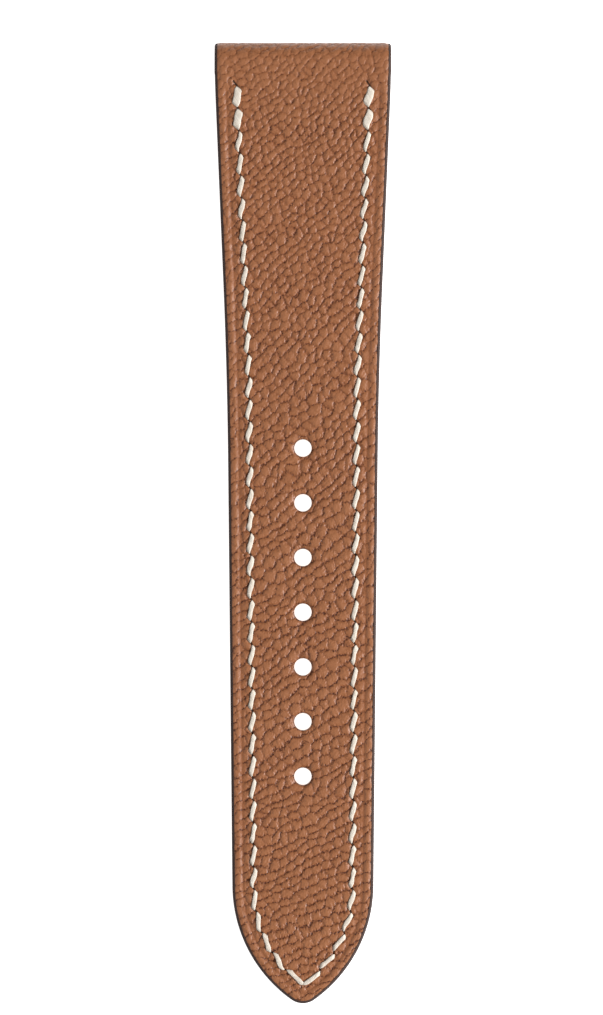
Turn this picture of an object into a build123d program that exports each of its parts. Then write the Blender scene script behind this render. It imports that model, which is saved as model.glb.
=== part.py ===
# Leather watch strap, the long half with the buckle holes.
# The origin is on the axis of the spring bar tunnel, halfway across the strap.
# X runs across the strap, plus Y points to the watch, the tip is towards minus Y,
# and Z rises out of the grained face, which lies up.
# All sizes are millimetres and degrees.
import math
import os

from build123d import *

# Plan outline, painted edges included
strap_length = 108.84
lug_width = 20.02
parallel_length = 3.6
shoulder_distance = 37.6
shoulder_width = 17.2
tip_start_width = 16.04
tip_radius = 16.0
tip_round = 2.2
lug_blend_share = 0.86
shoulder_blend_share = 0.3
corner_round = 0.4

# Leather and its reinforcements, as thicknesses
tunnel_radius = 1.0
upper_thick = 0.85
band_thick = 0.15
tape_thick = 0.15
tape_width = 9.0
lining_thick = 1.05
lining_lip = 0.3
flap_middle_thick = 0.45
flap_edge_thick = 0.15
core_edge_thick = 0.06
paint_thick = 0.25
paint_bevel = 0.12

# Where the layers start and stop, measured from the tunnel axis
tunnel_back = 1.2
lining_start = 2.2
lining_full = 5.5
flap_length = 12.0
band_length = 10.0
pad_level = 8.5
pad_end = 34.0
pad_crown_share = 0.95
pad_heel_share = 0.4

# Buckle holes
hole_count = 7
hole_diameter = 2.04
hole_pitch = 6.2
first_hole = 43.9

# Crease pressed along the edge
crease_inset = 1.2
crease_width = 0.5
crease_depth = 0.12
crease_start = 2.4

# Saddle stitching
stitch_pitch = 2.53
doubled_stitches = 2
stitch_inset = 2.45
stitch_tip_drop = 0.6
first_awl_hole = 3.0
thread_diameter = 0.48
doubled_spacing = 0.36
thread_proud = 0.28
strand_sides = 4
lock_sides = 6
awl_half_across = 0.24
awl_half_along = 0.36
thread_clearance = 0.03
back_bow_across = 0.36
back_bow_along = 0.55
back_sink = 0.07
groove_margin = 0.05
groove_lead = 0.5

# Helpers for the cuts
overrun = 1.0

fold_radius = tunnel_radius + band_thick + upper_thick
tail_thick = upper_thick + lining_thick
bottom = -fold_radius
tail_top = bottom + tail_thick
tip_y = fold_radius - strap_length
lining_top = bottom + lining_thick


def tip_centre(half_width, drop):
    """Centre of the big arc at one side of the tip."""
    reach = math.sqrt((tip_radius - tip_round) ** 2 - (tip_radius - tip_start_width / 2) ** 2)
    return half_width - tip_radius, tip_y + tip_round + reach - drop


def side_points(inset):
    """Corners of one long edge, from the lug end to the start of the tip."""
    _, tip_start_y = tip_centre(tip_start_width / 2, 0)
    return [
        (lug_width / 2 - inset, fold_radius),
        (lug_width / 2 - inset, fold_radius - parallel_length),
        (shoulder_width / 2 - inset, fold_radius - shoulder_distance),
        (tip_start_width / 2 - inset, tip_start_y),
    ]


def strap_outline(inset, corner=0):
    """Plan face of the strap, drawn in by an inset all the way round but for the folded end."""
    side = side_points(inset)
    cx, cy = tip_centre(tip_start_width / 2, 0)
    radius = tip_radius - inset
    small = tip_round - inset
    round_y = tip_y + tip_round
    away = math.hypot(cx, round_y - cy)
    meet = (cx - cx / away * radius, cy + (round_y - cy) / away * radius)
    turn = math.atan2(cy - meet[1], meet[0] - cx) / 2
    middle = (cx + radius * math.cos(turn), cy - radius * math.sin(turn))
    edges = [Line(a, b) for a, b in zip(side, side[1:])]
    edges.append(ThreePointArc(side[-1], middle, meet))
    edges.append(ThreePointArc(meet, (0, round_y - small), (-meet[0], meet[1])))
    edges.append(ThreePointArc((-meet[0], meet[1]), (-middle[0], middle[1]), (-side[-1][0], side[-1][1])))
    edges += [Line((-b[0], b[1]), (-a[0], a[1])) for a, b in zip(reversed(side[:-1]), reversed(side[1:]))]
    edges.append(Line((-side[0][0], side[0][1]), side[0]))
    face = make_face(edges)
    lug_reach = parallel_length * lug_blend_share
    shoulder_reach = (shoulder_distance - parallel_length) * shoulder_blend_share
    face = soften(face, side[1], blend_radius(*side[0:3], lug_reach))
    face = soften(face, side[2], blend_radius(*side[1:4], shoulder_reach))
    if corner:
        face = soften(face, side[0], corner)
    return face


def blend_radius(before, corner, after, reach):
    """Radius of the arc that starts and ends at a distance from the corner between two runs."""
    turn = (Vector(*corner) - Vector(*before)).get_angle(Vector(*after) - Vector(*corner))
    return reach / math.tan(math.radians(turn) / 2)


def soften(face, point, radius):
    """Round the outline's corner at a point and its mirror image."""
    near = [v for v in face.vertices() if math.dist((abs(v.X), v.Y), point) < paint_thick / 2]
    return fillet(near, radius)


def stitch_line(offset, lead=0):
    """Right half of the stitch path as edges from the first awl hole, or a lead before it, to the tip."""
    start, shoulder = side_points(stitch_inset + offset)[1:3]
    first_y = lead - first_awl_hole
    share = (start[1] - first_y) / (start[1] - shoulder[1])
    first = (start[0] + (shoulder[0] - start[0]) * share, first_y)
    half = tip_start_width / 2 - stitch_inset - offset
    radius = tip_radius - stitch_inset - stitch_tip_drop - offset
    cx = half - radius
    cy = tip_centre(tip_start_width / 2, stitch_tip_drop)[1]
    apex = (0, cy - math.sqrt(radius**2 - cx**2))
    turn = math.atan2(cy - apex[1], -cx) / 2
    middle = (cx + radius * math.cos(turn), cy - radius * math.sin(turn))
    return [Line(first, shoulder), Line(shoulder, (half, cy)), ThreePointArc((half, cy), middle, apex)]


def stitch_region(offset):
    """Plan face inside the groove's edge at an offset from the stitch path."""
    right = stitch_line(offset, groove_lead)
    top = right[0] @ 0
    left = [mirror(e, Plane.YZ) for e in right]
    return make_face(right + left + [Line(top, (-top.X, top.Y))])


def awl_holes():
    """Centre, forward and sideways direction of each awl hole, from the left lug corner round the tip."""
    path = Wire(stitch_line(0))
    count = round(path.length / stitch_pitch)
    right = []
    for i in range(count):
        share = i / count
        right.append((path @ share, path % share))
    tip = path @ 1
    holes = [(Vector(-p.X, p.Y), Vector(-t.X, t.Y)) for p, t in right]
    holes.append((Vector(0, tip.Y), Vector(1, 0)))
    holes += [(Vector(p.X, p.Y), Vector(-t.X, -t.Y)) for p, t in reversed(right)]
    return [(p, t.normalized(), Vector(-t.Y, t.X).normalized()) for p, t in holes]


def spot(hole, across, along):
    """Plan point near an awl hole."""
    centre, forward, sideways = hole
    return centre + sideways * across + forward * along


def bows(holes, i):
    """Plan points where the thread bows aside on the back, after hole i and before the next."""
    return (spot(holes[i], -back_bow_across, back_bow_along),
            spot(holes[i + 1], back_bow_across, -back_bow_along))


def below(drop):
    """Side view face of everything under the grained face, or a distance lower, behind the tunnel axis."""
    high = fold_radius - drop
    low = tail_top - drop
    end = tip_y - overrun
    base = bottom - overrun - drop
    top = [(0, high), (-pad_level, high), (-pad_end, low), (end, low)]
    face = make_face(Polyline(*top, (end, base), (0, base), close=True))
    crown = [v for v in face.vertices() if abs(v.X + pad_level) < paint_thick and v.Y > base]
    face = fillet(crown, blend_radius(*top[0:3], pad_level * pad_crown_share))
    heel = [v for v in face.vertices() if abs(v.X + pad_end) < paint_thick and v.Y > base]
    return fillet(heel, blend_radius(*top[1:4], (pad_end - pad_level) * pad_heel_share))


def block(y_low, y_high, z_low, z_high):
    """Side view rectangle."""
    return Pos((y_low + y_high) / 2, (z_low + z_high) / 2) * Rectangle(y_high - y_low, z_high - z_low)


def front_half(radius):
    """Side view half disc on the watch side of the tunnel axis."""
    return Circle(radius) & block(0, radius + overrun, -radius - overrun, radius + overrun)


def layer(top_drop, bottom_drop, y_low, y_high):
    """Side view band between two layer lines."""
    return (below(top_drop) - below(bottom_drop)) & block(y_low, y_high, bottom - overrun, fold_radius + overrun)


def flap_top(lift):
    """Side view points along the upper side of the turned back flap."""
    return [
        (0, bottom + upper_thick + lift),
        (-tunnel_back, bottom + upper_thick + lift),
        (-lining_full, lining_top + flap_middle_thick + lift),
        (-flap_length, lining_top + flap_edge_thick + lift),
    ]


def lining_profile():
    """Side view of the lining, skived at its start."""
    end = tip_y - overrun
    return make_face(Polyline(
        (-lining_start, bottom),
        (-lining_start, bottom + lining_lip),
        (-lining_full, lining_top),
        (end, lining_top),
        (end, bottom),
        close=True,
    ))


def upper_profile():
    """Side view of the upper: the face, the fold round the tunnel and the skived flap."""
    flap = make_face(Polyline(
        (0, bottom),
        *flap_top(0),
        (-flap_length, lining_top),
        (-lining_full, lining_top),
        (-lining_start, bottom + lining_lip),
        (-lining_start, bottom),
        close=True,
    ))
    fold = front_half(fold_radius) - Circle(fold_radius - upper_thick)
    return layer(0, upper_thick, tip_y - overrun, 0) + fold + flap


def band_profile():
    """Side view of the loop reinforcement, from under the face round the tunnel and back on the flap."""
    low = flap_top(0)
    share = (band_length - lining_full) / (flap_length - lining_full)
    tail_z = low[2][1] + (low[3][1] - low[2][1]) * share
    under = low[:3] + [(-band_length, tail_z)]
    over = [(y, z + band_thick) for y, z in reversed(under)]
    tail = make_face(Polyline(*under, *over, close=True))
    ring = front_half(tunnel_radius + band_thick) - Circle(tunnel_radius)
    return layer(upper_thick, upper_thick + band_thick, -band_length, 0) + ring + tail


def core_profile():
    """Side view of the filler wedge behind the tunnel."""
    inner = below(upper_thick)
    thin = block(tip_y - overrun, 0, bottom - overrun, lining_top + core_edge_thick)
    wedge = inner & block(tip_y, 0, bottom, fold_radius)
    wedge = wedge - lining_profile() - upper_profile() - band_profile() - Circle(tunnel_radius)
    wedge = wedge - (thin & block(tip_y - overrun, -flap_length - overrun, bottom - overrun, fold_radius))
    return wedge


def side_profile():
    """Side view of the whole strap, open at the tunnel."""
    whole = below(0) & block(tip_y - overrun, 0, bottom, fold_radius)
    return whole + front_half(fold_radius) - Circle(tunnel_radius)


def across(profile):
    """Solid of a side view, as wide as the strap needs."""
    width = lug_width + overrun * 2
    return extrude(Plane.YZ * profile, width / 2, both=True)


def upright(face):
    """Solid of a plan face, taller than the strap."""
    return extrude(face, fold_radius + overrun, both=True)


def skin(depth):
    """Thin layer under the grained face, for pressed marks."""
    top = across(below(-overrun) & block(tip_y - overrun, 0, bottom, fold_radius + overrun * 2))
    return top - across(below(depth))


def buckle_holes():
    """Plan of the punched holes."""
    places = [(0, -first_hole - hole_pitch * i) for i in range(hole_count)]
    return Sketch() + [Pos(x, y) * Circle(hole_diameter / 2) for x, y in places]


def turned(point, direction, length, width):
    """Plan rectangle at a point, long along a direction."""
    angle = math.degrees(math.atan2(direction.Y, direction.X))
    return Pos(point.X, point.Y) * Rot(0, 0, angle) * Rectangle(length, width)


def awl_slots(holes):
    """Plan of the awl cuts, which slope against the stitches."""
    span = math.hypot(awl_half_across, awl_half_along) * 2
    slots = []
    for hole in holes:
        slope = spot(hole, awl_half_across, awl_half_along) - spot(hole, -awl_half_across, -awl_half_along)
        slots.append(turned(hole[0], slope, span + thread_diameter + thread_clearance * 2,
                            thread_diameter + thread_clearance * 2))
    return Sketch() + slots


def stitch_ends(holes, i):
    """Plan ends of the front stitch between hole i and the next."""
    return (spot(holes[i], awl_half_across, awl_half_along),
            spot(holes[i + 1], -awl_half_across, -awl_half_along))


def doubled(i, holes):
    """True for the lock stitches at both ends of the seam."""
    last = len(holes) - 2
    return i < doubled_stitches or i > last - doubled_stitches


def stitch_seats(holes):
    """Plan of the troughs that the stitches press into the grain."""
    seats = []
    for i in range(len(holes) - 1):
        start, end = stitch_ends(holes, i)
        way = end - start
        width = thread_diameter + thread_clearance * 2
        seats.append(turned((start + end) / 2, way, way.length, width))
        if doubled(i, holes):
            beside = (start + end) / 2 + second_pass(way)
            seats.append(turned(beside, way, way.length + thread_clearance * 2, width))
    return Sketch() + seats


def second_pass(way):
    """Step aside from a lock stitch to the second pass of the thread."""
    return Vector(way.Y, -way.X).normalized() * doubled_spacing


def face_height(y):
    """Height of the grained face at a place along the strap."""
    column = block(y - crease_depth, y + crease_depth, bottom, fold_radius + overrun)
    return (below(0) & column).bounding_box().max.Y


def strand_points(holes, first):
    """Way of one needle end: over on the face, down, bowed along the back, and up again."""
    back = bottom + back_sink + thread_diameter / 2
    points = []
    i = first
    if first == 0:
        start = spot(holes[0], awl_half_across, awl_half_along)
        points.append((start.X, start.Y, back + thread_diameter / 2))
    else:
        begin = spot(holes[0], awl_half_across, awl_half_along)
        bow = bows(holes, 0)[1]
        points += [(begin.X, begin.Y, back), (bow.X, bow.Y, back)]
        up = spot(holes[1], awl_half_across, awl_half_along)
        points.append((up.X, up.Y, back))
    while i < len(holes) - 1:
        start, end = stitch_ends(holes, i)
        for p in (start, end):
            points.append((p.X, p.Y, face_height(p.Y) + thread_proud - thread_diameter / 2))
        points.append((end.X, end.Y, back))
        if i + 2 < len(holes):
            up = spot(holes[i + 2], awl_half_across, awl_half_along)
            points += [(p.X, p.Y, back) for p in (*bows(holes, i + 1), up)]
        i = i + 2
    return points


def cord(points, sides):
    """Faceted cord along straight runs with mitred turns."""
    way = (points[1] - points[0]).normalized()
    section = Plane(points[0], z_dir=way) * RegularPolygon(thread_diameter / 2, sides)
    return sweep(section, path=Polyline(*points), transition=Transition.RIGHT)


def strand(holes, first):
    """One needle end of the thread, with the second pass over its lock stitches."""
    thread = cord([Vector(*p) for p in strand_points(holes, first)], strand_sides)
    for i in range(first, len(holes) - 1, 2):
        if doubled(i, holes):
            start, end = stitch_ends(holes, i)
            beside = second_pass(end - start)
            ends = [Vector(p.X, p.Y, face_height(p.Y) + thread_proud - thread_diameter / 2) + beside
                    for p in (start, end)]
            thread = thread + cord(ends, lock_sides)
    return thread


def leather_plan(holes):
    """Plan of the leather inside the edge paint, with its punched holes and awl cuts."""
    plan = strap_outline(paint_thick) & strap_outline(0, corner_round)
    return plan - buckle_holes() - awl_slots(holes)


def seam_groove():
    """Groove along the back for the seam, with a round pocket where it turns at the tip."""
    half = back_bow_across + thread_diameter / 2 + groove_margin
    turn = math.hypot(back_bow_across, back_bow_along) + thread_diameter / 2 + groove_margin
    vertex = stitch_line(0)[-1] @ 1
    groove = stitch_region(-half) - stitch_region(half) + Pos(0, vertex.Y) * Circle(turn)
    depth = back_sink + thread_diameter + thread_clearance
    return Pos(0, 0, bottom) * extrude(groove, depth, both=True)


def build_upper(plan, holes):
    """Grained upper with its pressed crease and the seats of the stitches."""
    upper = across(upper_profile()) & plan
    ring = strap_outline(crease_inset - crease_width / 2) - strap_outline(crease_inset + crease_width / 2)
    ring = ring & block_plan(tip_y, -crease_start)
    upper = upper - (upright(ring) & skin(crease_depth))
    seat_depth = thread_diameter - thread_proud + thread_clearance
    return upper - (upright(stitch_seats(holes)) & skin(seat_depth)) - seam_groove()


def build_lining(plan):
    """Lining with the tape let into it and its share of the groove that the back of the seam lies in."""
    return (across(lining_profile()) & plan) - seam_groove() - build_tape()


def build_wedge(plan):
    """Filler wedge with the tape let into its upper side."""
    return (across(core_profile()) & plan) - build_tape()


def build_tape():
    """Tape under the upper along the middle, from the loop reinforcement to the start of the tip."""
    _, tip_start_y = tip_centre(tip_start_width / 2, 0)
    strip = Pos(0, (tip_start_y - band_length) / 2) * Rectangle(tape_width, -band_length - tip_start_y)
    tape = across(layer(upper_thick, upper_thick + tape_thick, tip_start_y, -band_length))
    return tape & upright(strip - buckle_holes())


def block_plan(y_low, y_high):
    """Plan rectangle right across the strap."""
    return Pos(0, (y_low + y_high) / 2) * Rectangle(lug_width + overrun, y_high - y_low)


def build_paint():
    """Edge paint, one bead round both long edges and the tip, open at the tunnel."""
    ring = strap_outline(0, corner_round) - strap_outline(paint_thick)
    bead = across(side_profile()) & upright(ring)
    rims = []
    outer = strap_outline(0, corner_round).face().outer_wire()
    for edge in bead.edges():
        middle = edge @ 0.5
        level = abs((edge % 0.5).Z) < 0.5
        on_rim = outer.distance_to(Vertex(middle.X, middle.Y, 0)) < paint_thick / 100
        in_line = Vector(0, middle.Y, middle.Z).length > tunnel_radius + band_thick
        if level and on_rim and in_line:
            rims.append(edge)
    print("paint rims", len(rims))
    return chamfer(rims, paint_bevel)


holes = awl_holes()
print("awl holes", len(holes), "pitch", round((holes[1][0] - holes[0][0]).length, 3))
plan = upright(leather_plan(holes))
parts = {
    "upper_leather": build_upper(plan, holes),
    "lining_leather": build_lining(plan),
    "loop_reinforcement": across(band_profile()) & plan,
    "stretch_stop_tape": build_tape(),
    "filler_wedge": build_wedge(plan),
    "edge_paint": build_paint(),
    "thread_strand_a": strand(holes, 0),
    "thread_strand_b": strand(holes, 1),
}
os.makedirs("parts", exist_ok=True)
for name, shape in parts.items():
    size = shape.bounding_box().size
    print(name, len(shape.solids()), "solid", round(shape.volume, 2), "mm3", [round(v, 2) for v in size])
    export_step(shape, f"parts/{name}.step")
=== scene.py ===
# %% [markdown]
# This scene dresses the long half of a leather watch strap: a pebble grained upper, cream saddle
# stitching, a dark painted edge and seven punched holes. The CAD frame gives every size that the
# strap has to keep. The upper, the thread and the paint get meshes of their own here, because their
# grain, twist and roundness are too fine for CAD. The hidden layers keep the CAD's own meshes.

# %% Load the frame
import math

import bpy
import numpy as np
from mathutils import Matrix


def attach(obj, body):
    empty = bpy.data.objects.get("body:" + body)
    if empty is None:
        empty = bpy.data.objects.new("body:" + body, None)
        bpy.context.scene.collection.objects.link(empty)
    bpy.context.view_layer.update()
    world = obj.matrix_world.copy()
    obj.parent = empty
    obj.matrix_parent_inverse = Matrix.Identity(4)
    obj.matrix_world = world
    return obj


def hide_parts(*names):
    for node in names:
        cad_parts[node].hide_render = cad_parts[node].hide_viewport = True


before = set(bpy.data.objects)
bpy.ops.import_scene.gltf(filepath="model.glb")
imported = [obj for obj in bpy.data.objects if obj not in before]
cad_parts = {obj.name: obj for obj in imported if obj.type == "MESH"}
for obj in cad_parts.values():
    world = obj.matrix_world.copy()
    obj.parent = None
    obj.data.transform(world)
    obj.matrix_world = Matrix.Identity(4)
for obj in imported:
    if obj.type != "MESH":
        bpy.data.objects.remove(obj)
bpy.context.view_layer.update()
print("CAD nodes", sorted(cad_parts))

# %% [markdown]
# A strap maker starts from a paper pattern. These are the pattern's sizes in millimetres, the same
# ones that the CAD uses. The origin is on the axis of the spring bar tunnel, the tip is towards
# minus Y and the grained face is up. A strap is easiest to think of in millimetres, so they turn to
# Blender's metres only where an object or a material is made.

# %% Pattern sizes in millimetres
strap_length = 108.84
lug_width = 20.02
parallel_length = 3.6
shoulder_distance = 37.6
shoulder_width = 17.2
tip_start_width = 16.04
tip_radius = 16.0
tip_round = 2.2
fold_radius = 2.0
paint_thick = 0.25
millimetre = 0.001
tip_y = fold_radius - strap_length
print("the tip lies at", round(tip_y, 2), "mm")

# %% [markdown]
# The outline is straight runs joined by large arcs, then a pointed arch with a rounded point. It
# could be a Bezier curve drawn by hand, but then no size could be read from it. Here each arc is
# worked out from its corner and its reach, so the curve stays true however finely it is cut.


# %% Paths
def unit(vectors):
    """The same directions with a length of one."""
    return vectors / np.linalg.norm(vectors, axis=-1, keepdims=True)


def path_run(path):
    """Distance of each point of a path from its start."""
    return np.concatenate([[0], np.cumsum(np.linalg.norm(np.diff(path, axis=0), axis=1))])


def path_at(path, distances):
    """Places on a path at the given distances from its start."""
    run = path_run(path)
    return np.stack([np.interp(distances, run, column) for column in path.T], axis=1)


def evenly(path, step):
    """The same path cut at even steps of about the given length."""
    length = path_run(path)[-1]
    return path_at(path, np.linspace(0, length, max(2, round(length / step) + 1)))


def arc(centre, radius, start, end, count):
    """Points on an arc from one angle to another."""
    angles = np.linspace(start, end, count)
    return np.array(centre) + radius * np.stack([np.cos(angles), np.sin(angles)], axis=1)


def rounded(points, reaches, step=0.05):
    """Points along straight runs, with an arc at each inner corner that starts at its reach."""
    points = [np.array(point, float) for point in points]
    path = [points[0]]
    for before, corner, after, reach in zip(points, points[1:], points[2:], reaches):
        back = unit(before - corner)
        onward = unit(after - corner)
        half_angle = math.acos(np.clip(back @ onward, -1, 1)) / 2
        turn = math.pi - half_angle * 2
        radius = reach * math.tan(half_angle)
        centre = corner + unit(back + onward) * radius / math.sin(half_angle)
        start = corner + back * reach - centre
        end = corner + onward * reach - centre
        for share in np.linspace(0, 1, max(3, math.ceil(turn * radius / step))):
            spoke = start * math.sin((1 - share) * turn) + end * math.sin(share * turn)
            path.append(centre + spoke / math.sin(turn))
    return np.array(path + [points[-1]])


print("a quarter turn of 1 mm is cut at", len(rounded([(0, 0), (2, 0), (2, 2)], [1])) - 2, "points")

# %% Outline
lug_blend_share = 0.86
shoulder_blend_share = 0.3
lug_reach = parallel_length * lug_blend_share
shoulder_reach = (shoulder_distance - parallel_length) * shoulder_blend_share
arch_count = 200
point_count = 40
arc_x = tip_start_width / 2 - tip_radius
round_y = tip_y + tip_round
arc_y = round_y + math.sqrt((tip_radius - tip_round) ** 2 - arc_x**2)
meet_angle = math.atan2(round_y - arc_y, -arc_x)


def outline(inset):
    """Right half of the outline, drawn in by an inset, from the tunnel's axis to the tip."""
    lug_corner = (lug_width / 2 - inset, 0)
    side = rounded([
        lug_corner,
        (lug_width / 2 - inset, fold_radius - parallel_length),
        (shoulder_width / 2 - inset, fold_radius - shoulder_distance),
        (tip_start_width / 2 - inset, arc_y),
    ], [lug_reach, shoulder_reach])
    arch = arc((arc_x, arc_y), tip_radius - inset, 0, meet_angle, arch_count)
    point = arc((0, round_y), tip_round - inset, meet_angle, -math.pi / 2, point_count)
    return np.concatenate([[lug_corner], side[side[:, 1] < 0], arch[1:], point[1:]])


edge_line = outline(0)
print("outline points", len(edge_line), "widest", edge_line[:, 0].max() * 2, "mm")

# %% [markdown]
# The margin's crease, the rolled edge and the calmer grain beside them all follow the edge, so one
# function measures how far any place is from it. A Geometry Proximity node could do that from a
# curve, but the outline's own arcs give it exactly. The side view is a wedge: thick over the tunnel,
# then thinner where the padding runs out, and even from there to the tip.


# %% Distance to the edge
def edge_distance(x, y):
    """Distance in millimetres from a place on the strap to its outer edge."""
    across = np.abs(x)
    line_x, line_y = edge_line[::-1].T
    half = np.interp(y, line_y, line_x)
    slope = np.interp(y, line_y, np.gradient(line_x, line_y))
    side = (half - across) / np.sqrt(1 + slope**2)
    arch = tip_radius - np.hypot(across - arc_x, y - arc_y)
    point = tip_round - np.hypot(across, y - round_y)
    in_point = (y < round_y) & (np.arctan2(y - round_y, across) < meet_angle)
    return np.where(in_point, point, np.where(y < arc_y, arch, side))


print("halfway along, the middle is", round(float(edge_distance(0, tip_y / 2)), 2), "mm from the edge")

# %% Height of the grained face
tail_thick = 1.9
pad_level = 8.5
pad_end = 34.0
pad_crown_share = 0.95
pad_heel_share = 0.4
bottom = -fold_radius
tail_top = bottom + tail_thick
face_line = rounded([
    (tip_y - tip_round, tail_top),
    (-pad_end, tail_top),
    (-pad_level, fold_radius),
    (fold_radius, fold_radius),
], [(pad_end - pad_level) * pad_heel_share, pad_level * pad_crown_share])


def face_height(y):
    """Height of the grained face before grain, creases and seams."""
    return np.interp(y, face_line[:, 0], face_line[:, 1])


print("face height at the lug and the tip", face_height(0), face_height(tip_y))

# %% [markdown]
# Every mesh in this lesson is a grid of points, so one function turns a grid of millimetre points
# into a Blender mesh in metres. A modifier could displace a plane instead, but numpy can work out
# nearly half a million heights at once, with every groove in its exact place. A material reads what
# the mesh knows, such as where a crease is, from values that are kept on its points.


# %% Grids into meshes
def grid_faces(rows, columns, ring=False):
    """Corner numbers of the quads in a grid, closed along its columns if it is a ring."""
    index = np.arange(rows * columns).reshape(rows, columns)
    if ring:
        index = np.concatenate([index, index[:, :1]], axis=1)
    corners = [index[:-1, :-1], index[:-1, 1:], index[1:, 1:], index[1:, :-1]]
    return np.stack(corners, axis=-1).reshape(-1, 4)


def mesh_object(name, points, faces, replaces):
    """A smooth shaded object from millimetre points and quads, riding on the strap."""
    mesh = bpy.data.meshes.new(name)
    mesh.vertices.add(len(points))
    mesh.vertices.foreach_set("co", (np.asarray(points) * millimetre).ravel())
    mesh.loops.add(faces.size)
    mesh.loops.foreach_set("vertex_index", faces.astype(np.int32).ravel())
    mesh.polygons.add(len(faces))
    mesh.polygons.foreach_set("loop_start", np.arange(0, faces.size, 4, dtype=np.int32))
    mesh.update(calc_edges=True)
    mesh.validate()
    mesh.polygons.foreach_set("use_smooth", np.ones(len(mesh.polygons), bool))
    made = bpy.data.objects.new(name, mesh)
    bpy.context.collection.objects.link(made)
    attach(made, "root")
    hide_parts(replaces)
    print(name, len(mesh.vertices), "points", len(mesh.polygons), "faces")
    return made


def keep_on_points(made, name, kind, values):
    """Keeps a number or a vector on each point of a mesh, for its material to read."""
    layer = made.data.attributes.new(name, kind, "POINT")
    layer.data.foreach_set("vector" if kind == "FLOAT_VECTOR" else "value", values.ravel())


print("3 rows of 4 points make", len(grid_faces(3, 4)), "quads, or", len(grid_faces(3, 4, True)), "in rings")

# %% [markdown]
# Pebble grain comes from boarding: the dressed skin is rolled on itself in one direction, which
# breaks it into soft domes between creases. Most creases follow the rolling direction in long rows,
# and weaker ones cross them. Blender's Voronoi texture gives cells without a direction, so the
# cells are made here: points scattered on a stretched lattice, whose borders are deep where they lie
# along a row and faint where they cross it.

# %% Seeded chance
seed = 7
random = np.random.default_rng(seed)
table_size = 256
scatter = random.random((table_size, table_size, 3))
noise_table = random.random((table_size, table_size))
part_step_across = 17.3
part_step_along = 9.1


def soft_noise(x, y, cell, part):
    """Smooth random values from -1 to 1, one wave about every two cells, from a part of the table."""
    u = x / cell + part * part_step_across
    v = y / cell + part * part_step_along
    i = np.floor(u).astype(int)
    j = np.floor(v).astype(int)
    share_u = (u - i) ** 2 * (3 - 2 * (u - i))
    share_v = (v - j) ** 2 * (3 - 2 * (v - j))
    corner = [[noise_table[(i + a) % table_size, (j + b) % table_size] for b in (0, 1)] for a in (0, 1)]
    low = corner[0][0] * (1 - share_u) + corner[1][0] * share_u
    high = corner[0][1] * (1 - share_u) + corner[1][1] * share_u
    return (low * (1 - share_v) + high * share_v) * 2 - 1


print("scattered points", scatter.shape[:2])

# %% Cells of the grain
row_spacing = 0.92
cell_length = 1.1
row_scatter = 0.5
along_scatter = 0.75
brick_share = 0.8
neighbours = [(a, b) for a in range(-2, 3) for b in range(-2, 3)]


def cell_point(i, j):
    """Place of a cell's scattered point, staggered from row to row, and its random mark."""
    chance = scatter[i % table_size, j % table_size]
    stagger = 0.5 * (i % 2)
    row_place = i + 0.5 + (chance[..., 0] - 0.5) * row_scatter
    along_place = j + 0.5 + stagger + (chance[..., 1] - 0.5) * along_scatter
    return row_place * row_spacing, along_place * cell_length, chance[..., 2]


def home_cell(p, q, i, j):
    """Scattered point and mark of the cell that each place lies in."""
    nearest = np.full(p.shape, np.inf)
    home = [np.zeros(p.shape) for _ in range(3)]
    for a, b in neighbours:
        point = cell_point(i + a, j + b)
        away = (point[0] - p) ** 2 + ((point[1] - q) * brick_share) ** 2
        nearer = away < nearest
        nearest = np.where(nearer, away, nearest)
        home = [np.where(nearer, new, old) for new, old in zip(point, home)]
    return home


print("cells of", row_spacing, "by", cell_length, "mm")

# %% Creases between the cells
valley_width = 0.33
fold_width = 0.085
line_width = 0.06
least_row_strength = 0.62
least_cross_strength = 0.45
cross_line_share = 0.25


def grain(p, q, cross_share):
    """Valley, fold and dark line shares of each place, from its places across and along the rows."""
    i = np.floor(p / row_spacing).astype(int)
    j = np.floor(q / cell_length).astype(int)
    home_p, home_q, home_mark = home_cell(p, q, i, j)
    valley, fold, line = (np.zeros(p.shape) for _ in range(3))
    for a, b in neighbours:
        point_p, point_q, mark = cell_point(i + a, j + b)
        step_p = point_p - home_p
        step_q = (point_q - home_q) * brick_share
        apart = np.hypot(step_p, step_q)
        other = apart > 1e-6
        apart = np.where(other, apart, 1)
        from_p = (point_p + home_p) / 2 - p
        from_q = ((point_q + home_q) / 2 - q) * brick_share
        away = (from_p * step_p + from_q * step_q) / apart
        chance = (mark + home_mark) % 1
        in_row = (step_p / apart) ** 2
        row_strength = least_row_strength + (1 - least_row_strength) * chance
        cross_strength = cross_share * (least_cross_strength + (1 - least_cross_strength) * chance)
        strength = np.where(other, in_row * row_strength + (1 - in_row) * cross_strength, 0)
        darkness = strength * (cross_line_share + (1 - cross_line_share) * in_row)
        valley = np.maximum(valley, strength * np.exp(-away / valley_width))
        fold = np.maximum(fold, strength * np.exp(-(away / fold_width) ** 2))
        line = np.maximum(line, darkness * np.exp(-(away / line_width) ** 2))
    return valley, fold, line


print("valleys", valley_width, "mm wide and dark lines", line_width, "mm")

# %% [markdown]
# The leather is cut, skived, creased and folded round the spring bar before it is sewn. The grid
# follows that sheet: from the tip up the face, round the fold and a short way under the back, where
# the lining takes over. Its rows follow the outline, so the cut edge is clean all round the tip,
# which a trimmed square grid could not give.

# %% The sheet's grid
grid_step = 0.07
columns = 270
lining_start = 2.2
leather_edge = evenly(outline(paint_thick), grid_step)[::-1]
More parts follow.
